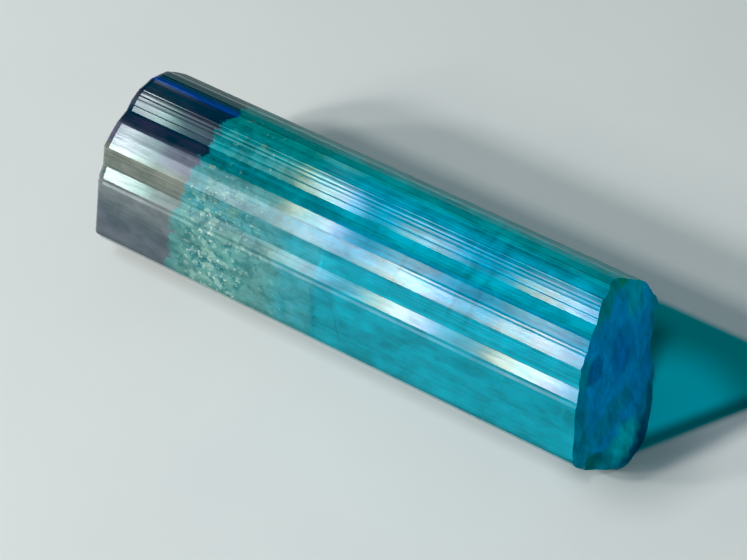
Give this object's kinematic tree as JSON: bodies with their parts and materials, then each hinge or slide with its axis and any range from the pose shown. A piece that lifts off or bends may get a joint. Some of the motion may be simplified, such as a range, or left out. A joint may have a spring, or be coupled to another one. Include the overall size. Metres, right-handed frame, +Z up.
{
  "type": "tourmaline crystal",
  "caption": "Blue-green tourmaline prism, striated lengthwise, with one flat end and one hackly broken end, lying on a prism face.",
  "frame": {"origin": "bottom centre of the bounding box, on the prism face that the crystal rests on", "axes": "+X along the prism's axis towards the broken end, +Z up from the resting face, -Y the side with the broad smooth face"},
  "size_m": [0.0352, 0.0114, 0.0112],
  "materials": {
    "indicolite": "clear to cloudy blue-green crystal with vitreous, finely striated prism faces and a duller broken end"
  },
  "bodies": {
    "root": {"tourmaline_crystal": "indicolite"}
  },
  "joints": []
}
